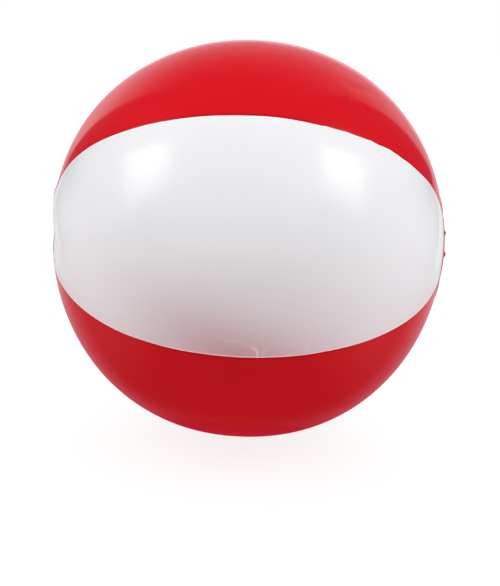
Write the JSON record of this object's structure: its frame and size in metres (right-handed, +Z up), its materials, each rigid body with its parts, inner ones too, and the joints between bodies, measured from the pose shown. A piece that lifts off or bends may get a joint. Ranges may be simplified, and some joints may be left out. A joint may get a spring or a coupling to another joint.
{
  "type": "beach ball",
  "caption": "Inflated round play ball of welded film panels in turn white and red, with an end disc at each pole and a push-in valve with a plug on a strap.",
  "frame": {"origin": "centre of the flat patch of film that the ball rests on", "axes": "+Z up from the floor, +X along the pole axis towards the valve, the picture is taken from -Y"},
  "size_m": [0.281, 0.2796, 0.278],
  "materials": {
    "white_film": "glossy soft PVC film",
    "red_film": "glossy soft PVC film",
    "valve_moulding": "moulded soft PVC, satin gloss"
  },
  "bodies": {
    "ball": {"white_panel_front": "white_film", "red_panel_top": "red_film", "white_panel_rear": "white_film", "red_panel_rear": "red_film", "white_panel_base": "white_film", "red_panel_front": "red_film", "end_disc_valve": "red_film", "end_disc_plain": "red_film", "valve_base": "valve_moulding", "valve_cuff": "valve_moulding"},
    "valve": {"valve_stem": "valve_moulding", "plug_strap": "valve_moulding"},
    "plug": {"plug": "valve_moulding"},
    "flap": {"valve_flap": "valve_moulding"}
  },
  "joints": [
    {"name": "valve_slide", "type": "slide", "parent": "ball", "child": "valve", "axis": [1, 0, 0], "range_m": [0, 0.0117], "deforming": ["valve_cuff"]},
    {"name": "plug_hinge", "type": "hinge", "parent": "valve", "child": "plug", "pos_m": [0.1397, 0, 0.1509], "axis": [0, -1, 0], "range_deg": [0, 150], "deforming": ["plug_strap"]},
    {"name": "flap_hinge", "type": "hinge", "parent": "valve", "child": "flap", "pos_m": [0.12965, 0, 0.14265], "axis": [0, 1, 0], "range_deg": [0, 60]}
  ]
}
